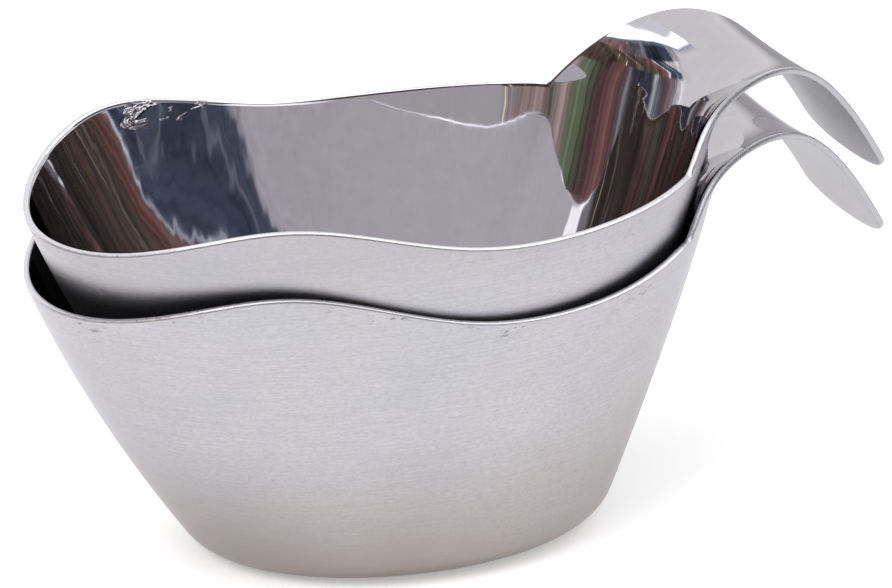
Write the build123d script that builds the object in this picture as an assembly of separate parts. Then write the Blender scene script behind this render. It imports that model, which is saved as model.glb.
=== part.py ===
from build123d import *
import math
import os

os.makedirs("parts", exist_ok=True)

# A stacked pair of sheet-metal sauce boats. Each boat is one continuous pressed sheet:
# flat base, leaning oval wall, wavy rim, and an end wall that runs on up and over as the
# handle. +X is the handle end, -X the pouring end, +Z up, millimetres. The origin is the
# middle of the lower boat's base, on the surface it stands on.

SHEET = 1.5              # metal thickness
NEST_RISE = 14.5         # how far the upper boat stands above the lower one
FOOT_RADIUS = 10.5       # outside radius between base and wall
OUTLINE_LEVEL = 62.0     # height at which the mouth outline below is given
WALL_TOP = 84.0          # the wall is built this high, then cut down to the rim
BELLY_X, BELLY_Y = 0.13, 0.05   # outward belly of the wall, lengthwise and sideways

# Outlines as (centre, first, second, third) harmonics of the angle round the bowl:
# angle 0 is the handle end. MOUTH is at OUTLINE_LEVEL, BASE at height 0.
MOUTH_X, MOUTH_Y = (-9.2, 69.1, 5.1, 6.0), (50.8, 3.8, 4.4)
BASE_X, BASE_Y = (3.2, 44.0, -0.4, 0.0), (37.0, 0.7, 0.1)

# Rim height along the boat: it dips at the spout, rises to a shoulder, sags at the back.
RIM_X = (-90.0, -80.5, -68.0, -47.0, -23.0, -3.5, 19.5, 40.0)
UPPER_RIM_Z = (62.6, 63.9, 67.9, 72.9, 68.8, 64.0, 62.3, 62.7)
LOWER_RIM_Z = (62.6, 63.9, 67.9, 72.6, 67.6, 62.0, 59.9, 61.0)
CORNER_LEVEL = 63.4      # rim height where the handle leaves it
LEVEL_FROM_X = 54.0      # the rim is level from here back
CORNER_ANGLE = 0.478     # half the angle the handle's root takes round the bowl, radians

# The handle from root to end. Its side edge and its middle line are smooth curves guided by
# these poles: (x, half width, z) for the edge and (x, z) for the middle.
EDGE_POLES = ((61.7, 28.4, 70.7), (64.5, 22.6, 75.8), (73.7, 24.0, 77.5), (82.5, 22.3, 80.9),
              (89.5, 16.9, 80.2), (97.9, 16.6, 72.5))
MIDDLE_POLES = ((72.9, 68.7), (72.4, 68.5), (75.2, 74.0), (81.0, 78.8), (88.7, 80.2),
                (98.0, 72.5))
HANDLE_END = (109.5, 15.4, 52.2)
END_ROUND = 5.6          # how far the rounded end runs past HANDLE_END

STEP_ROUND = 32          # points used round an outline
HANDLE_SECTIONS = 18     # sections used along the handle


def harmonics(level, angle):
    """Point on the outside of the wall at this height and angle."""
    q = level / OUTLINE_LEVEL
    grow_x = q + 2 * BELLY_X * q * (1 - q)
    grow_y = q + 2 * BELLY_Y * q * (1 - q)

    def across(c):
        return c[0] + sum(c[k] * math.cos(k * angle) for k in (1, 2, 3))

    def sideways(c):
        return sum(c[k] * math.sin((k + 1) * angle) for k in (0, 1, 2))

    x = across(BASE_X) + (across(MOUTH_X) - across(BASE_X)) * grow_x
    y = sideways(BASE_Y) + (sideways(MOUTH_Y) - sideways(BASE_Y)) * grow_y
    return Vector(x, y, level)


def wall_point(level, angle, inset):
    """The same point moved inward so that the sheet is 'inset' thick square to the wall."""
    here = harmonics(level, angle)
    if inset == 0:
        return here
    along = harmonics(level, angle + 0.001) - harmonics(level, angle - 0.001)
    outward = Vector(along.Y, -along.X, 0).normalized()
    rise = harmonics(level + 0.1, angle) - harmonics(level - 0.1, angle)
    lean = rise.dot(outward) / 0.2
    return here - outward * inset * math.sqrt(1 + lean * lean)


def ring(level, inset):
    """Closed outline at one height; it starts and ends at the spout."""
    angles = [math.pi + 2 * math.pi * i / STEP_ROUND for i in range(STEP_ROUND)]
    return Wire([Edge.make_spline([wall_point(level, a, inset) for a in angles], periodic=True)])


def bowl_block(inset, floor, radius):
    """Solid block with the bowl's outside (inset 0) or inside shape, base edge rounded."""
    levels = [floor + (WALL_TOP - floor) * i / 5 for i in range(6)]
    block = Solid.make_loft([ring(level, inset) for level in levels])
    base_edge = block.edges().sort_by(Axis.Z)[0]
    return block.fillet(radius, [base_edge])


def above_rim(rim_z):
    """Everything above the rim line, as one block right across the boat."""
    side = -90
    points = [Vector(x, side, z) for x, z in zip(RIM_X, rim_z)]
    points.append(Vector(LEVEL_FROM_X, side, CORNER_LEVEL))
    curve = Edge.make_spline(points)
    far = Vector(130, side, CORNER_LEVEL)
    far_up, near_up = Vector(130, side, 130), Vector(RIM_X[0], side, 130)
    lines = [Edge.make_line(points[-1], far), Edge.make_line(far, far_up),
             Edge.make_line(far_up, near_up), Edge.make_line(near_up, points[0])]
    return Solid.extrude(Face(Wire([curve] + lines)), Vector(0, -2 * side, 0))


def handle_lines():
    """Poles of the side edge and of the middle line, both on the sheet's outer face."""
    x_end, w_end, z_end = HANDLE_END
    edge = [harmonics(CORNER_LEVEL, CORNER_ANGLE)] + [Vector(*p) for p in EDGE_POLES]
    middle = [harmonics(CORNER_LEVEL, 0)] + [Vector(x, 0, z) for x, z in MIDDLE_POLES]
    return edge + [Vector(x_end, w_end, z_end)], middle + [Vector(x_end, 0, z_end)]


def along(poles, step):
    """Point of the smooth curve guided by these poles, step 0 to 1."""
    points = list(poles)
    while len(points) > 1:
        points = [p + (q - p) * step for p, q in zip(points, points[1:])]
    return points[0]


def handle_skin(step, angle):
    """Point of the handle's outer face: step 0 root to 1 end, angle as round the bowl.
    Across the handle it keeps the plan shape the wall has at the root."""
    edge_poles, middle_poles = handle_lines()
    edge, middle = along(edge_poles, step), along(middle_poles, step)
    wall = harmonics(CORNER_LEVEL, angle)
    depth = (wall.X - edge_poles[0].X) / (middle_poles[0].X - edge_poles[0].X)
    return Vector(edge.X + (middle.X - edge.X) * depth, edge.Y * wall.Y / edge_poles[0].Y,
                  edge.Z + (middle.Z - edge.Z) * depth)


def handle_point(step, angle, inset):
    """The same point moved inward from the outer face, square to it."""
    here = handle_skin(step, angle)
    if inset == 0:
        return here
    low, high = max(step - 0.004, 0), min(step + 0.004, 1)
    forward = handle_skin(high, angle) - handle_skin(low, angle)
    across = handle_skin(step, angle + 0.005) - handle_skin(step, angle - 0.005)
    return here + forward.cross(across).normalized() * inset


def band(points_outer, points_inner):
    """Closed section of the sheet: outer line, end, inner line back, end."""
    outer, inner = Edge.make_spline(points_outer), Edge.make_spline(points_inner)
    return Wire([outer, Edge.make_line(points_outer[-1], points_inner[0]), inner,
                 Edge.make_line(points_inner[-1], points_outer[0])])


SIDES = [-1 + i / 5 for i in range(11)]


def handle_section(step):
    outer = [handle_point(step, CORNER_ANGLE * v, 0) for v in SIDES]
    inner = [handle_point(step, CORNER_ANGLE * v, SHEET) for v in reversed(SIDES)]
    return band(outer, inner)


def flat_section(centre, half_width, inward):
    outer = [centre + Vector(0, half_width * v, 0) for v in SIDES]
    return band(outer, [p + inward * SHEET for p in reversed(outer)])


def fraction_at(edge, y):
    """Where along an edge that runs from side to side this sideways distance is reached."""
    low, high = (0, 1) if (edge @ 1).Y > (edge @ 0).Y else (1, 0)
    for _ in range(30):
        middle = (low + high) / 2
        if (edge @ middle).Y < y:
            low = middle
        else:
            high = middle
    return low


def root_section(root_face):
    """The handle's part of the level rim: its two long edges cut square to the wall."""
    inner_edge, outer_edge = root_face.edges().sort_by(SortBy.LENGTH)[-2:]
    cut = []
    for edge, inset in ((outer_edge, 0), (inner_edge, SHEET)):
        reach = wall_point(CORNER_LEVEL, CORNER_ANGLE, inset).Y
        ends = sorted(fraction_at(edge, y) for y in (-reach, reach))
        cut.append(edge.trim(*ends))
    corners = [[e @ 0, e @ 1] for e in cut]
    corners = [sorted(pair, key=lambda p: p.Y) for pair in corners]
    near, far = [Edge.make_line(corners[0][k], corners[1][k]) for k in (0, 1)]
    return Wire([cut[0], far, cut[1], near])


def handle(root_face):
    """The handle sheet, grown from the cut top of the end wall, with a rounded end."""
    half_width = HANDLE_END[1]
    before, end = handle_lines()[1][-2:]
    down = (end - before).normalized()
    inward = down.cross(Vector(0, 1, 0)).normalized()
    sections = [root_section(root_face)]
    sections += [handle_section(i / HANDLE_SECTIONS) for i in range(1, HANDLE_SECTIONS)]
    sections.append(flat_section(end, half_width, inward))
    half_oval = Ellipse(half_width, END_ROUND) & Pos(0, 20) * Rectangle(60, 40)
    end_plane = Plane(origin=end, x_dir=(0, -1, 0), z_dir=inward)
    return Solid.make_loft(sections) + extrude(end_plane * half_oval, SHEET)


def boat(rim_z):
    bowl = bowl_block(0, 0, FOOT_RADIUS) - bowl_block(SHEET, SHEET, FOOT_RADIUS - SHEET)
    bowl = bowl - above_rim(rim_z)
    level_faces = bowl.faces().filter_by(Axis.Z)
    root = [f for f in level_faces if abs(f.center().Z - CORNER_LEVEL) < 0.01][0]
    return bowl + handle(root)


export_step(boat(LOWER_RIM_Z), "parts/lower_boat.step")
export_step(Pos(0, 0, NEST_RISE) * boat(UPPER_RIM_Z), "parts/upper_boat.step")
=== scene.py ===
import math

import bmesh
import bpy
import numpy as np
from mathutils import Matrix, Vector


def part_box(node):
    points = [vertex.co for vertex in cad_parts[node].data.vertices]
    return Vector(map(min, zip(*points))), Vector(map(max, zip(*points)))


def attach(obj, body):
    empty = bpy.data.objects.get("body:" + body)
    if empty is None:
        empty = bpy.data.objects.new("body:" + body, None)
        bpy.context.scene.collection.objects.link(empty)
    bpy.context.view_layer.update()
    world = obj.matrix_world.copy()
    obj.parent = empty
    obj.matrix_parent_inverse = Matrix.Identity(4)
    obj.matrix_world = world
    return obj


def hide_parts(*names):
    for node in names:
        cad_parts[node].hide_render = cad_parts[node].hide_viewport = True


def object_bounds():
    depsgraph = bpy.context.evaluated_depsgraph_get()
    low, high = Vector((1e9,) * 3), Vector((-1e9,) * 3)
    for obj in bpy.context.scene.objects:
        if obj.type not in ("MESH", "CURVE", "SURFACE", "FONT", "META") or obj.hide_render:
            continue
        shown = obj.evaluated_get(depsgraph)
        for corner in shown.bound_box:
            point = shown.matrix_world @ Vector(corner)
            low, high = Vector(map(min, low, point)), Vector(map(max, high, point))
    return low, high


# Two stacked sheet-metal sauce boats. Each boat's CAD node is replaced by one mesh: the outer
# skin is laid out row by row on the same curves as the CAD, thickened inward to the real sheet
# and then subdivided. The outside is brushed satin, the inside and the handle's top are mirror
# polish, and the cut edge of the sheet is polished.

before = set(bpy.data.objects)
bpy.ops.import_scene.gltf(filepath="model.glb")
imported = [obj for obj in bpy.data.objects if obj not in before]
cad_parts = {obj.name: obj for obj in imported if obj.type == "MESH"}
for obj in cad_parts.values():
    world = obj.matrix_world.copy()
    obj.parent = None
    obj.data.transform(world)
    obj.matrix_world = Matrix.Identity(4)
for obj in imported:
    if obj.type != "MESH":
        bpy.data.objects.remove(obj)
cad_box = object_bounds()

# --- Shape of one boat, in millimetres, as in the CAD -------------------------------------
MM = 0.001
SHEET = 1.5
FOOT_RADIUS = 10.5
OUTLINE_LEVEL = 62.0
BELLY_X, BELLY_Y = 0.13, 0.05
MOUTH_X, MOUTH_Y = (-9.2, 69.1, 5.1, 6.0), (50.8, 3.8, 4.4)
BASE_X, BASE_Y = (3.2, 44.0, -0.4, 0.0), (37.0, 0.7, 0.1)
RIM_X = (-90.0, -80.5, -68.0, -47.0, -23.0, -3.5, 19.5, 40.0)
RIM_Z = {"upper_boat": (62.6, 63.9, 67.9, 72.9, 68.8, 64.0, 62.3, 62.7),
         "lower_boat": (62.6, 63.9, 67.9, 72.6, 67.6, 62.0, 59.9, 61.0)}
CORNER_LEVEL = 63.4
LEVEL_FROM_X = 54.0
CORNER_ANGLE = 0.478
EDGE_POLES = ((61.7, 28.4, 70.7), (64.5, 22.6, 75.8), (73.7, 24.0, 77.5), (82.5, 22.3, 80.9),
              (89.5, 16.9, 80.2), (97.9, 16.6, 72.5))
MIDDLE_POLES = ((72.9, 68.7), (72.4, 68.5), (75.2, 74.0), (81.0, 78.8), (88.7, 80.2),
                (98.0, 72.5))
HANDLE_END = (109.5, 15.4, 52.2)
END_ROUND = 5.6

# --- What only the mesh has: millimetres and radians ---------------------------------------
EDGE_CREASE = 0.32       # keeps the sheet edge tight, with a small rounding
RIM_SUPPORT = 2.0        # one extra row of the mesh runs this far below the rim
EDGE_ROUND = 0.8         # radius with which the material shades the sheet edge
BULGE = 0.4              # outward swell of the +Y wall at the mouth outline's height
BULGE_AT, BULGE_WIDTH = 1.6, 0.26   # angle round the bowl of that swell, and how wide it is

# --- Mesh density -------------------------------------------------------------------------
HANDLE_COLUMNS = 24
BOWL_COLUMNS = 84
BASE_ROWS = (0.3, 0.6, 0.85)
FOOT_ROWS = 6
WALL_ROWS = 11
HANDLE_ROWS = (0.015, 0.035, 0.06, 0.1, 0.15, 0.2, 0.25, 0.3, 0.35, 0.4, 0.45, 0.5, 0.55, 0.6,
               0.66, 0.72, 0.78, 0.84, 0.9)
END_ROWS = 6
TIP_POWER = 1.5                       # how late the rows bow out towards the rounded end
ROOT_EVEN, ROOT_EASED = 0.45, 0.55    # shares of even and of crowded spacing across the handle
BOWL_EASE = 0.09                      # how much the bowl's columns crowd towards the handle
SUBDIVISIONS = 2
RIM_ROUNDS = 12                       # rounds of stepping until the rim height has settled
LEAN_FROM, LEAN_TO = 1, 6             # heights between which the wall's lean at the foot is taken
FOOT_LEVEL, SMALL_ANGLE = 3, 0.001    # height and angle step for the outline's direction there


def wall(level, angle):
    """Point on the outside of the wall; angle 0 is the handle end."""
    q = level / OUTLINE_LEVEL
    grow_x = q + 2 * BELLY_X * q * (1 - q)
    grow_y = q + 2 * BELLY_Y * q * (1 - q)

    def across(c):
        return c[0] + sum(c[k] * math.cos(k * angle) for k in (1, 2, 3))

    def sideways(c):
        return sum(c[k] * math.sin((k + 1) * angle) for k in (0, 1, 2))

    x = across(BASE_X) + (across(MOUTH_X) - across(BASE_X)) * grow_x
    y = sideways(BASE_Y) + (sideways(MOUTH_Y) - sideways(BASE_Y)) * grow_y
    y += BULGE * q * math.exp(-((angle - BULGE_AT) / BULGE_WIDTH) ** 2)
    return Vector((x, y, level))


def smooth_line(xs, zs):
    """Cubic curve through the points, as a function of x."""
    n = len(xs)
    step = np.diff(xs)
    slope = np.diff(zs) / step
    matrix, right = np.eye(n), np.zeros(n)
    for i in range(1, n - 1):
        matrix[i, i - 1:i + 2] = step[i - 1], 2 * (step[i - 1] + step[i]), step[i]
        right[i] = 6 * (slope[i] - slope[i - 1])
    bend = np.linalg.solve(matrix, right)

    def height(x):
        i = int(np.clip(np.searchsorted(xs, x) - 1, 0, n - 2))
        a, b = (xs[i + 1] - x) / step[i], (x - xs[i]) / step[i]
        sag = ((a ** 3 - a) * bend[i] + (b ** 3 - b) * bend[i + 1]) * step[i] ** 2 / 6
        return a * zs[i] + b * zs[i + 1] + sag

    return height


def rim_level(rim_line, angle):
    """Height at which the wall at this angle meets the rim line."""
    level = CORNER_LEVEL
    for _ in range(RIM_ROUNDS):
        x = wall(level, angle).x
        level = CORNER_LEVEL if x > LEVEL_FROM_X else rim_line(x)
    return level


def along(poles, step):
    """Point of the smooth curve guided by these poles, step 0 to 1."""
    points = list(poles)
    while len(points) > 1:
        points = [p + (q - p) * step for p, q in zip(points, points[1:])]
    return points[0]


CORNER, ROOT = wall(CORNER_LEVEL, CORNER_ANGLE), wall(CORNER_LEVEL, 0)
EDGE_LINE = [CORNER] + [Vector(p) for p in EDGE_POLES] + [Vector(HANDLE_END)]
MIDDLE_LINE = [ROOT] + [Vector((x, 0, z)) for x, z in MIDDLE_POLES]
MIDDLE_LINE.append(Vector((HANDLE_END[0], 0, HANDLE_END[2])))
END_SPEED = (MIDDLE_LINE[-1] - MIDDLE_LINE[-2]) * (len(MIDDLE_LINE) - 1)


def handle(step, across):
    """Point of the handle's outer face: step 0 root to 1 end, across -1 to 1."""
    edge, middle = along(EDGE_LINE, step), along(MIDDLE_LINE, step)
    root = wall(CORNER_LEVEL, CORNER_ANGLE * across)
    depth = (root.x - CORNER.x) / (ROOT.x - CORNER.x)
    x = edge.x + (middle.x - edge.x) * depth
    z = edge.z + (middle.z - edge.z) * depth
    return Vector((x, edge.y * root.y / CORNER.y, z))


def columns():
    """Angles of the mesh columns, closer together at the two corners of the handle's root."""
    sides = [-1 + 2 * i / HANDLE_COLUMNS for i in range(HANDLE_COLUMNS + 1)]
    across = [ROOT_EVEN * s + ROOT_EASED * math.sin(math.pi / 2 * s) for s in sides]
    rest = 2 * math.pi - 2 * CORNER_ANGLE
    bowl = []
    for i in range(1, BOWL_COLUMNS):
        f = i / BOWL_COLUMNS
        eased = f - BOWL_EASE * math.sin(2 * math.pi * f)
        bowl.append(CORNER_ANGLE + rest * eased)
    return across, bowl


def bowl_profile(angle, rim_line):
    """Points of one column from the base up to the rim, base centre left out."""
    low, high = wall(LEAN_FROM, angle), wall(LEAN_TO, angle)
    tangent = wall(FOOT_LEVEL, angle + SMALL_ANGLE) - wall(FOOT_LEVEL, angle - SMALL_ANGLE)
    out = Vector((tangent.y, -tangent.x, 0)).normalized()
    lean = (high - low).dot(out) / (LEAN_TO - LEAN_FROM)
    tilt = math.atan2(1, lean)
    foot = wall(0, angle) - out * FOOT_RADIUS * math.tan(tilt / 2)
    centre = Vector((BASE_X[0], 0, 0))
    points = [centre.lerp(foot, f) for f in BASE_ROWS]
    for k in range(FOOT_ROWS + 1):
        turn = tilt * k / FOOT_ROWS
        reach = FOOT_RADIUS * (math.sin(turn) - math.tan(tilt / 2))
        z = FOOT_RADIUS * (1 - math.cos(turn))
        points.append(wall(z, angle) + out * (reach - lean * z))
    top = rim_level(rim_line, angle)
    start = points[-1].z
    points += [wall(start + (top - start) * k / WALL_ROWS, angle)
               for k in range(1, WALL_ROWS + 1)]
    points.insert(-1, wall(top - RIM_SUPPORT, angle))
    return points


def handle_column(side, across):
    """Points of one handle column above the rim, ending on the half-oval tip."""
    points = [handle(step, across) for step in HANDLE_ROWS]
    last = HANDLE_ROWS[-1]
    tip = END_ROUND / END_SPEED.length
    for k in range(1, END_ROWS + 1):
        f = k / END_ROWS
        place = across + (math.sin(math.pi / 2 * side) - across) * f
        bow = tip * f ** TIP_POWER * math.sqrt(max(1 - place * place, 0))
        points.append(handle(last + (1 - last) * f, place) + END_SPEED * bow)
    return points


def outer_skin(name):
    """Cage of the outer face of one boat, as one open sheet of quads."""
    rim_line = smooth_line(RIM_X + (LEVEL_FROM_X,), RIM_Z[name] + (CORNER_LEVEL,))
    across, bowl = columns()
    angles = [CORNER_ANGLE * a for a in across] + bowl
    count = len(angles)
    grid = [bowl_profile(a, rim_line) for a in angles]
    rim_row = len(grid[0]) - 1
    for i, place in enumerate(across):
        side = -1 + 2 * i / HANDLE_COLUMNS
        grid[i] += handle_column(side, place)

    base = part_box(name)[0].z
    mesh = bmesh.new()
    level_layer = mesh.verts.layers.float.new("level")
    depth_layer = mesh.verts.layers.float.new("depth")
    centre = mesh.verts.new((BASE_X[0] * MM, 0, base))
    rows = []
    foot_row = len(BASE_ROWS)
    for column in grid:
        verts, run = [], 0
        for k, p in enumerate(column):
            if k > rim_row:
                run += (p - column[k - 1]).length
            level = p.z if k > foot_row else -(p - column[foot_row]).length
            v = mesh.verts.new((p.x * MM, p.y * MM, p.z * MM + base))
            v[level_layer] = (level if k <= rim_row else column[rim_row].z + run) * MM
            v[depth_layer] = (column[rim_row].z - p.z) * MM if k <= rim_row else 0
            verts.append(v)
        rows.append(verts)
    for i in range(count):
        a, b = rows[i], rows[(i + 1) % count]
        shared = min(len(a), len(b))
        if i >= len(across) - 1:
            shared = rim_row + 1
        mesh.faces.new((centre, b[0], a[0]))
        for k in range(shared - 1):
            mesh.faces.new((a[k], b[k], b[k + 1], a[k + 1]))
    for face in mesh.faces:
        face.smooth = True
    data = bpy.data.meshes.new(name + "_sheet")
    mesh.to_mesh(data)
    mesh.free()
    return data


# --- Materials ----------------------------------------------------------------------------
DENTS_AT = (-0.027, 0.042, 0.0838)      # middle of a patch of small dents, in metres
DENTS_SIZE = (0.015, 0.02, 0.0042)      # and how far it reaches each way


class Nodes:
    """Small helper that adds and links shader nodes."""

    def __init__(self, material):
        material.use_nodes = True
        self.tree = material.node_tree
        self.shader = next(n for n in self.tree.nodes if n.type == "BSDF_PRINCIPLED")

    def add(self, kind, inputs=(), **settings):
        node = self.tree.nodes.new(kind)
        for key, value in settings.items():
            setattr(node, key, value)
        for key, value in dict(inputs).items():
            self.put(value, node.inputs[key])
        return node

    def put(self, value, socket):
        if isinstance(value, bpy.types.NodeSocket):
            self.tree.links.new(value, socket)
        else:
            socket.default_value = value

    def set(self, name, value):
        self.put(value, self.shader.inputs[name])

    def scaled(self, vector, factors):
        node = self.add("ShaderNodeVectorMath", {0: vector, 1: factors}, operation="MULTIPLY")
        return node.outputs[0]

    def noise(self, vector, scale, detail=2.0, rough=0.5, warp=0.0):
        node = self.add("ShaderNodeTexNoise", {"Vector": vector, "Scale": scale, "Detail": detail,
                                               "Roughness": rough, "Distortion": warp})
        return node.outputs["Fac"]

    def spread(self, value, low, high, to_low, to_high):
        node = self.add("ShaderNodeMapRange", {"Value": value, "From Min": low, "From Max": high,
                                               "To Min": to_low, "To Max": to_high})
        return node.outputs[0]

    def math(self, operation, a, b=0.0):
        return self.add("ShaderNodeMath", {0: a, 1: b}, operation=operation).outputs[0]

    def blend(self, factor, a, b):
        node = self.add("ShaderNodeMix", {0: factor, 6: a, 7: b}, data_type="RGBA")
        return node.outputs[2]

    def bump(self, height, strength, distance, normal=None):
        node = self.add("ShaderNodeBump", {"Height": height, "Strength": strength,
                                           "Distance": distance})
        if normal is not None:
            self.put(normal, node.inputs["Normal"])
        return node.outputs[0]

    def place(self):
        return self.add("ShaderNodeTexCoord").outputs["Object"]

    def attribute(self, name):
        return self.add("ShaderNodeAttribute", attribute_name=name).outputs["Fac"]


def brush_vector(n, around, up):
    """Coordinates for brush lines that run level round the wall and across the handle."""
    parts = n.add("ShaderNodeSeparateXYZ", {0: n.place()}).outputs
    x, y = n.math("MULTIPLY", parts[0], around), n.math("MULTIPLY", parts[1], around)
    z = n.math("MULTIPLY", n.attribute("level"), up)
    return n.add("ShaderNodeCombineXYZ", {0: x, 1: y, 2: z}).outputs[0]


def satin_steel():
    material = bpy.data.materials.new("satin_steel_looks")
    n = Nodes(material)
    lines = n.noise(brush_vector(n, 70, 2500), 1.0, 3.0, 0.7)
    grain = n.noise(brush_vector(n, 900, 2600), 1.0, 3.0, 0.65)
    specks = n.noise(brush_vector(n, 900, 2300), 1.0, 2.0, 0.5)
    clouds = n.noise(n.place(), 20.0, 4.0, 0.6)
    patches = n.noise(n.place(), 55.0, 2.0, 0.5)
    place = n.add("ShaderNodeSeparateXYZ", {0: n.place()}).outputs
    tint = n.blend(n.spread(clouds, 0.35, 0.65, 0, 1), (0.400, 0.400, 0.450, 1),
                   (0.480, 0.458, 0.455, 1))
    tint = n.blend(n.spread(lines, 0.35, 0.70, 0, 0.5), tint, (0.58, 0.57, 0.60, 1))
    tint = n.blend(n.spread(grain, 0.35, 0.70, 0.6, 0), tint, (0.33, 0.32, 0.34, 1))
    tint = n.blend(n.spread(specks, 0.62, 0.74, 0, 0.3), tint, (0.26, 0.25, 0.26, 1))
    # painted shade and painted reflection: the foot is coloured darker and warmer, less so towards
    # the handle
    foot = n.spread(n.math("ADD", n.attribute("level"), n.math("MULTIPLY", patches, 0.012)),
                    0.008, 0.042, 0.85, 0)
    tint = n.blend(n.math("MULTIPLY", foot, n.spread(place[0], -0.01, 0.05, 1, 0.6)), tint,
                   (0.30, 0.25, 0.22, 1))
    # painted shade: the satin is coloured darker from 66 mm up, near the top of the stack
    tint = n.blend(n.spread(place[2], 0.066, 0.080, 0, 0.35), tint, (0.30, 0.29, 0.31, 1))
    # dark nicks and rubbed spots close under the rim
    nicks = n.noise(brush_vector(n, 330, 900), 1.0, 4.0, 0.7)
    near_rim = n.spread(n.attribute("depth"), 0.0008, 0.0055, 1, 0)
    below = n.spread(n.attribute("depth"), 0.0002, 0.0008, 0, 1)
    marks = n.math("MULTIPLY", n.math("MULTIPLY", near_rim, below),
                   n.spread(nicks, 0.57, 0.63, 0, 0.8))
    marks = n.math("MULTIPLY", marks, n.spread(patches, 0.50, 0.60, 0, 1))
    marks = n.math("MULTIPLY", marks, n.spread(place[2], 0.072, 0.076, 1, 0.2))
    tint = n.blend(marks, tint, (0.10, 0.085, 0.08, 1))
    n.set("Base Color", tint)
    n.set("Metallic", 1.0)
    n.set("Roughness", n.spread(grain, 0.3, 0.7, 0.31, 0.43))
    n.set("Anisotropic", 0.4)
    height = n.math("ADD", lines, n.math("MULTIPLY", grain, 0.8))
    n.set("Normal", n.bump(height, 0.4, 0.00002))
    return material


def mirror_steel():
    material = bpy.data.materials.new("mirror_steel_looks")
    n = Nodes(material)
    waves = n.noise(n.place(), 34.0, 1.0, 0.4)
    ripples = n.noise(n.scaled(n.place(), (1, 1, 0.4)), 150.0, 2.0, 0.5)
    haze = n.noise(n.place(), 300.0, 3.0, 0.6)
    hairs = n.noise(brush_vector(n, 90, 5200), 1.0, 2.0, 0.5)
    wiped = n.spread(hairs, 0.62, 0.78, 0, 0.05)
    n.set("Base Color", n.blend(n.spread(haze, 0.35, 0.7, 0, 1), (0.655, 0.64, 0.665, 1),
                                (0.685, 0.67, 0.695, 1)))
    n.set("Metallic", 1.0)
    n.set("Roughness", n.math("ADD", n.spread(haze, 0.35, 0.75, 0.02, 0.045), wiped))
    # a patch of small dents under the upper rim, on the +Y side
    away = n.add("ShaderNodeVectorMath", {0: n.place(), 1: DENTS_AT}, operation="SUBTRACT")
    reach = n.scaled(away.outputs[0], [1 / size for size in DENTS_SIZE])
    reach = n.add("ShaderNodeVectorMath", {0: reach}, operation="LENGTH").outputs["Value"]
    crumple = n.noise(n.scaled(n.place(), (1, 1, 3.0)), 120.0, 2.0, 0.6, 0.5)
    crease = n.spread(n.math("ABSOLUTE", n.math("SUBTRACT", crumple, 0.5)), 0, 0.05, 1, 0)
    sparse = n.spread(n.noise(n.place(), 210.0, 1.0, 0.5), 0.46, 0.54, 0, 1)
    dents = n.math("MULTIPLY", n.math("MULTIPLY", crease, sparse), n.spread(reach, 0.4, 1.0, 1, 0))
    surface = n.bump(ripples, 0.12, 0.0002, n.bump(waves, 0.5, 0.0005))
    n.set("Normal", n.bump(dents, 1.0, 0.0004, surface))
    return material


def edge_steel():
    material = bpy.data.materials.new("edge_steel_looks")
    n = Nodes(material)
    lines = n.noise(n.place(), 900.0, 2.0, 0.5)
    # painted reflection: the edge is coloured dark grey along the handle, where it mirrors darker
    # surroundings, and stays bright along the rim
    along_x = n.add("ShaderNodeSeparateXYZ", {0: n.place()}).outputs[0]
    n.set("Base Color", n.blend(n.spread(along_x, 0.052, 0.066, 0, 1),
                                (0.90, 0.895, 0.92, 1), (0.38, 0.38, 0.40, 1)))
    n.set("Metallic", 1.0)
    n.set("Roughness", n.spread(lines, 0.3, 0.7, 0.26, 0.38))
    rounded = n.add("ShaderNodeBevel", {"Radius": EDGE_ROUND * MM}, samples=6).outputs[0]
    n.set("Normal", n.bump(lines, 0.2, 0.00002, rounded))
    return material


FINISHES = (satin_steel(), mirror_steel(), edge_steel())


def make_boat(name, body):
    """One boat: its skin thickened inward, with the inside and the edge in their own finish."""
    data = outer_skin(name)
    piece = bpy.data.objects.new(name + "_sheet", data)
    bpy.context.scene.collection.objects.link(piece)
    for finish in FINISHES:
        data.materials.append(finish)
    sheet = piece.modifiers.new("sheet", "SOLIDIFY")
    sheet.thickness = SHEET * MM
    sheet.offset = -1
    sheet.use_even_offset = True
    sheet.material_offset = 1
    sheet.material_offset_rim = 2
    sheet.edge_crease_inner = sheet.edge_crease_outer = EDGE_CREASE
    smooth = piece.modifiers.new("smooth", "SUBSURF")
    smooth.levels = smooth.render_levels = SUBDIVISIONS
    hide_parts(name)
    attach(piece, body)


make_boat("lower_boat", "lower")
make_boat("upper_boat", "upper")

# --- Studio -------------------------------------------------------------------------------
MATTE = 0.9                             # roughness of the stage pieces
FLOOR_HALF, FLOOR_DROP = 6.0, 0.0002    # half the floor's width, and its gap under the boats
LIGHT_ELEVATION, LIGHT_DISTANCE, LIGHT_SIZE = 50, 1.6, 1.4
CARD_DISTANCE = 0.8

low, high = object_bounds()
centre = (low + high) / 2


def direction(azimuth, elevation):
    """Unit vector from the object towards a place at this azimuth and elevation."""
    a, e = math.radians(azimuth), math.radians(elevation)
    return Vector((math.sin(a) * math.cos(e), -math.cos(a) * math.cos(e), math.sin(e)))


def plain(name, colour, strength=0.0):
    material = bpy.data.materials.new(name)
    n = Nodes(material)
    n.set("Base Color", (*colour, 1))
    n.set("Roughness", MATTE)
    if strength:
        n.set("Emission Color", (*colour, 1))
        n.set("Emission Strength", strength)
    return material


def floor():
    data = bpy.data.meshes.new("floor")
    r = FLOOR_HALF
    data.from_pydata([(-r, -r, 0), (r, -r, 0), (r, r, 0), (-r, r, 0)], [], [(0, 1, 2, 3)])
    piece = bpy.data.objects.new("floor", data)
    piece.location = (0, 0, low.z - FLOOR_DROP)
    data.materials.append(plain("pale_floor", (0.93, 0.93, 0.93), 0.3))
    bpy.context.scene.collection.objects.link(piece)


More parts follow.
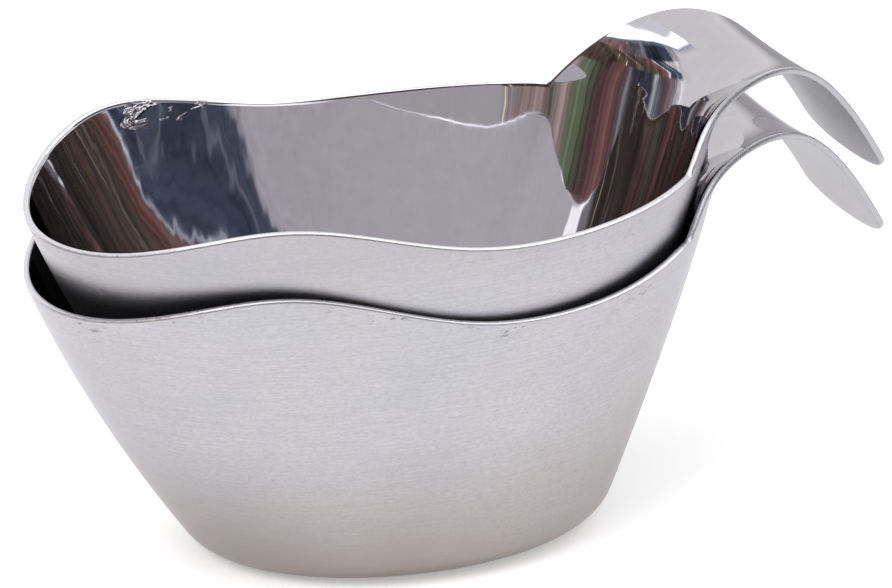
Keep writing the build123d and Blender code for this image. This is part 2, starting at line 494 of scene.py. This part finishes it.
def area_light(name, azimuth, power):
    data = bpy.data.lights.new(name, "AREA")
    data.energy, data.size = power, LIGHT_SIZE
    light = bpy.data.objects.new(name, data)
    back = direction(azimuth, LIGHT_ELEVATION)
    light.location = centre + back * LIGHT_DISTANCE
    light.rotation_euler = back.to_track_quat("Z", "Y").to_euler()
    bpy.context.scene.collection.objects.link(light)


# A curved card round the open side of the studio. The polished insides mirror it as a dark,
# streaky room. The camera doesn't see it.
ROOM_RADIUS, ROOM_HEIGHT = 0.7, 2.6
ROOM_FROM, ROOM_TO = -176, 44           # azimuths between which the card stands
ROOM_COLUMNS, ROOM_ROWS = 120, 30
PALE = (0.82, 0.80, 0.83)
ROOM_LOW = (             # stripes of the room's lowest part: azimuth in degrees, colour
    (-176, PALE), (-146, PALE), (-141, (0.60, 0.58, 0.62)), (-137, (0.30, 0.24, 0.27)),
    (-132, (0.20, 0.11, 0.11)), (-127, (0.07, 0.06, 0.07)), (-122, (0.20, 0.20, 0.24)),
    (-118.5, (0.60, 0.62, 0.66)), (-116, (0.06, 0.065, 0.09)), (-108, (0.04, 0.045, 0.07)),
    (-100, (0.05, 0.05, 0.06)), (-97, (0.30, 0.30, 0.33)), (-95, (0.09, 0.06, 0.07)),
    (-90, (0.18, 0.09, 0.085)), (-84, (0.17, 0.085, 0.085)), (-77, (0.08, 0.06, 0.055)),
    (-73, (0.17, 0.20, 0.13)), (-68, (0.20, 0.25, 0.16)), (-65, (0.16, 0.15, 0.12)),
    (-62, (0.46, 0.34, 0.33)), (-57, (0.22, 0.21, 0.17)), (-51, (0.34, 0.25, 0.24)),
    (-42, (0.26, 0.20, 0.20)), (-37, (0.30, 0.28, 0.29)), (-10, (0.46, 0.45, 0.47)),
    (18, (0.46, 0.45, 0.47)), (26, (1.35, 1.35, 1.4)), (44, (1.2, 1.2, 1.25)))
ROOM_MIDDLE = (          # of the part above it
    (-176, PALE), (-155, PALE), (-150, (0.76, 0.74, 0.77)), (-146.2, (0.72, 0.70, 0.73)),
    (-145.4, (0.10, 0.125, 0.18)), (-142.2, (0.09, 0.11, 0.16)), (-140.8, (0.34, 0.38, 0.46)),
    (-139.8, (0.08, 0.10, 0.15)), (-134, (0.07, 0.085, 0.13)), (-132.7, (1.2, 1.3, 1.45)),
    (-131.5, (0.26, 0.16, 0.15)), (-125, (0.22, 0.10, 0.085)), (-117, (0.13, 0.09, 0.07)),
    (-108, (0.07, 0.055, 0.045)), (-104, (0.24, 0.20, 0.16)), (-101, (0.08, 0.06, 0.05)),
    (-90, (0.13, 0.095, 0.07)), (-84, (0.05, 0.04, 0.035)), (-76, (0.11, 0.08, 0.06)),
    (-66, (0.10, 0.06, 0.05)), (-58, (0.06, 0.045, 0.04)), (28, (0.05, 0.045, 0.04)),
    (30, PALE), (44, PALE))
ROOM_HIGH = (            # and of its highest part
    (-176, PALE), (-150, PALE), (-147, (0.50, 0.48, 0.50)), (-141, (0.42, 0.44, 0.52)),
    (-139.5, (0.07, 0.085, 0.12)), (-133, (0.055, 0.07, 0.11)), (-126, (0.03, 0.035, 0.05)),
    (-118, (0.03, 0.035, 0.05)), (-112, (0.05, 0.06, 0.09)), (-109.5, (0.30, 0.30, 0.34)),
    (-107, (0.20, 0.19, 0.22)), (-104, (0.10, 0.10, 0.12)), (-97, (0.10, 0.09, 0.11)),
    (-94, (0.14, 0.12, 0.13)), (-87, (0.24, 0.13, 0.14)), (-66, (0.26, 0.15, 0.15)),
    (-58, (0.10, 0.08, 0.08)), (28, (0.06, 0.05, 0.05)), (30, PALE), (44, PALE))
CEILING = 61.5           # elevation, in degrees, where the room ends and a bright strip starts
CEILING_PEAK = -122      # azimuth where that border is highest; it curves down either way


def stripes(n, turn, colours):
    """Colour stripes by azimuth."""
    ramp = n.add("ShaderNodeValToRGB")
    stops = ramp.color_ramp.elements
    span = ROOM_TO - ROOM_FROM
    for i, (azimuth, colour) in enumerate(colours):
        at = (azimuth - ROOM_FROM) / span
        stop = stops[i] if i < 2 else stops.new(at)
        stop.position, stop.color = at, (*colour, 1)
    n.put(n.spread(turn, ROOM_FROM, ROOM_TO, 0, 1), ramp.inputs[0])
    return ramp.outputs[0]


def room_material():
    material = bpy.data.materials.new("room_card")
    n = Nodes(material)
    # azimuth and elevation of each point of the card, in degrees; the stripes wander a little
    parts = n.add("ShaderNodeSeparateXYZ", {0: n.place()}).outputs
    turn = n.math("DEGREES", n.math("ARCTAN2", parts[0], n.math("MULTIPLY", parts[1], -1.0)))
    rise = n.math("DEGREES", n.math("ARCTAN2", parts[2], ROOM_RADIUS))
    wander = n.spread(n.noise(n.place(), 3.0, 3.0, 0.6), 0, 1, -2.0, 2.0)
    bent = n.math("ADD", turn, wander)
    # three bands of stripes, one above the other; those of the middle band lean
    lean = n.math("MULTIPLY", n.math("MAXIMUM", n.math("SUBTRACT", rise, 32.0)), -1.5)
    border = n.spread(turn, -85, -70, 26, 17.5)
    rooms = n.blend(n.spread(n.math("SUBTRACT", rise, border), -1.5, 1.5, 0, 1),
                    stripes(n, bent, ROOM_LOW), stripes(n, n.math("ADD", bent, lean), ROOM_MIDDLE))
    rooms = n.blend(n.spread(rise, 41.5, 44, 0, 1), rooms, stripes(n, bent, ROOM_HIGH))
    # broad and thin upright streaks, everywhere but at the left end
    broad = n.spread(n.noise(n.scaled(n.place(), (16, 16, 2)), 1.0, 3.0, 0.6), 0.3, 0.7, 0.55, 1.45)
    thin = n.spread(n.noise(n.scaled(n.place(), (90, 90, 3)), 1.0, 2.0, 0.6), 0.3, 0.7, 0.65, 1.35)
    quiet = n.spread(turn, -150, -145, 0, 1)
    streaks = n.math("ADD", n.math("MULTIPLY", quiet,
                                   n.math("SUBTRACT", n.math("MULTIPLY", broad, thin), 1.0)), 1.0)
    dappled = n.add("ShaderNodeVectorMath", {0: rooms, 3: streaks}, operation="SCALE").outputs[0]
    # a few golden gleams
    gleam = n.noise(n.scaled(n.place(), (38, 38, 2.2)), 1.0, 1.0, 0.5)
    gold = n.math("MULTIPLY", n.spread(gleam, 0.70, 0.74, 0, 1), n.spread(turn, -128, -124, 0, 1))
    lit = n.blend(gold, dappled, (1.1, 0.92, 0.66, 1))
    # the pale table, brighter towards the right
    slant = n.math("ADD", rise, n.math("MULTIPLY", turn, 0.17))
    table = n.math("MULTIPLY", n.spread(slant, 22.5, 23.5, 1, 0), n.spread(turn, -37, -35, 0, 1))
    lit = n.blend(table, lit, n.blend(n.spread(turn, 17, 26, 0, 1), (0.46, 0.45, 0.47, 1),
                                      (1.35, 1.35, 1.4, 1)))
    # the bright strip where the ceiling starts, with a cool glow under it
    aside = n.math("SUBTRACT", turn, CEILING_PEAK)
    dip = n.math("MULTIPLY", n.math("MULTIPLY", aside, aside), n.spread(aside, -1, 1, 0.0087, 0.0035))
    dip = n.math("MINIMUM", dip, 9.5)
    ragged = n.spread(n.noise(n.place(), 6.0, 3.0, 0.6), 0, 1, -0.8, 0.8)
    over = n.math("ADD", n.math("ADD", rise, ragged), n.math("SUBTRACT", dip, CEILING))
    behind = n.spread(turn, -62, -57, 1, 0)
    lit = n.blend(n.math("MULTIPLY", n.spread(over, -5, 0, 0, 0.8), behind), lit,
                  (0.26, 0.31, 0.42, 1))
    ceiling = n.blend(n.spread(over, 7, 11, 0, 1), (1.9, 1.95, 2.05, 1), (0.84, 0.85, 0.89, 1))
    lit = n.blend(n.math("MULTIPLY", n.spread(over, -0.8, 0.8, 0, 1), behind), lit, ceiling)
    # a grey shade high up to the right, with a bright strip above it
    shade = n.math("MULTIPLY", n.spread(turn, -62, -54, 0, 1), n.spread(rise, 46, 52, 0, 1))
    above = n.blend(n.spread(rise, 59, 61, 0, 1), (0.34, 0.34, 0.36, 1), (2.2, 2.2, 2.3, 1))
    lit = n.blend(shade, lit, above)
    n.set("Base Color", (0, 0, 0, 1))
    n.set("Specular IOR Level", 0.0)
    n.set("Emission Color", lit)
    n.set("Emission Strength", 1.0)
    return material


def card(name, verts, faces, material, location=(0, 0, 0)):
    """A stage card that is seen only in the polished metal."""
    data = bpy.data.meshes.new(name)
    data.from_pydata(verts, [], faces)
    data.materials.append(material)
    piece = bpy.data.objects.new(name, data)
    piece.location = location
    piece.visible_camera = piece.visible_shadow = piece.visible_diffuse = False
    bpy.context.scene.collection.objects.link(piece)


def room_card():
    verts, faces = [], []
    for j in range(ROOM_ROWS + 1):
        for i in range(ROOM_COLUMNS + 1):
            a = math.radians(ROOM_FROM + (ROOM_TO - ROOM_FROM) * i / ROOM_COLUMNS)
            verts.append((math.sin(a) * ROOM_RADIUS, -math.cos(a) * ROOM_RADIUS,
                          ROOM_HEIGHT * j / ROOM_ROWS))
    for j in range(ROOM_ROWS):
        for i in range(ROOM_COLUMNS):
            k = j * (ROOM_COLUMNS + 1) + i
            faces.append((k, k + 1, k + ROOM_COLUMNS + 2, k + ROOM_COLUMNS + 1))
    card("room", verts, faces, room_material(), (centre.x, centre.y, low.z))


def glow(name, colour):
    material = plain(name, (0, 0, 0))
    n = Nodes(material)
    n.set("Specular IOR Level", 0.0)
    n.set("Emission Color", colour(n) if callable(colour) else (*colour, 1))
    n.set("Emission Strength", 1.0)
    return material


def side_card(name, azimuths, elevations, colour):
    """A card hung to the side, between these azimuths and elevations."""
    corners = ((0, 0), (1, 0), (1, 1), (0, 1))
    card(name, [centre + direction(azimuths[i], elevations[j]) * CARD_DISTANCE for i, j in corners],
         [(0, 1, 2, 3)], glow(name, colour))


def low_card(name, x, y, height):
    """A low card standing behind the handles, grey between the floor and the open room."""
    def colour(n):
        z = n.add("ShaderNodeSeparateXYZ", {0: n.place()}).outputs[2]
        grey = n.blend(n.spread(z, 0.050, 0.066, 0, 1), (1.1, 1.1, 1.1, 1), (0.40, 0.39, 0.41, 1))
        return n.blend(n.spread(z, 0.088, height, 0, 1), grey, (0.8, 0.8, 0.8, 1))

    top = low.z + height
    card(name, [(x[0], y, low.z), (x[1], y, low.z), (x[1], y, top), (x[0], y, top)],
         [(0, 1, 2, 3)], glow(name, colour))


floor()
room_card()
side_card("dark_card_right", (32, 70), (6, 33), (0.16, 0.16, 0.18))
low_card("low_card_back", (0.095, 0.22), 0.055, 0.102)
area_light("front_left", -78, 17)
area_light("right", 60, 7)

world = bpy.data.worlds.new("studio")
world.use_nodes = True
surround = world.node_tree.nodes["Background"]
surround.inputs["Color"].default_value = (1.0, 0.995, 1.0, 1)
surround.inputs["Strength"].default_value = 0.80
bpy.context.scene.world = world
bpy.context.scene.view_settings.view_transform = "Standard"

# --- Camera -------------------------------------------------------------------------------
AZIMUTH, ELEVATION, DISTANCE, LENS = -28.0, 21.8, 3.333, 643
FRAME_RIGHT, FRAME_UP = -0.0018, 0.0011     # how far the view is moved aside and up, metres
SENSOR_WIDTH, CLIP_START, CLIP_END = 36, 0.05, 50

camera = bpy.data.objects.new("camera", bpy.data.cameras.new("camera"))
back = direction(AZIMUTH, ELEVATION)
turn = back.to_track_quat("Z", "Y")
right, up = turn @ Vector((1, 0, 0)), turn @ Vector((0, 1, 0))
box_centre = (cad_box[0] + cad_box[1]) / 2
camera.location = box_centre + right * FRAME_RIGHT + up * FRAME_UP + back * DISTANCE
camera.rotation_euler = turn.to_euler()
camera.data.lens, camera.data.sensor_width = LENS, SENSOR_WIDTH
camera.data.clip_start, camera.data.clip_end = CLIP_START, CLIP_END
bpy.context.scene.collection.objects.link(camera)
bpy.context.scene.camera = camera
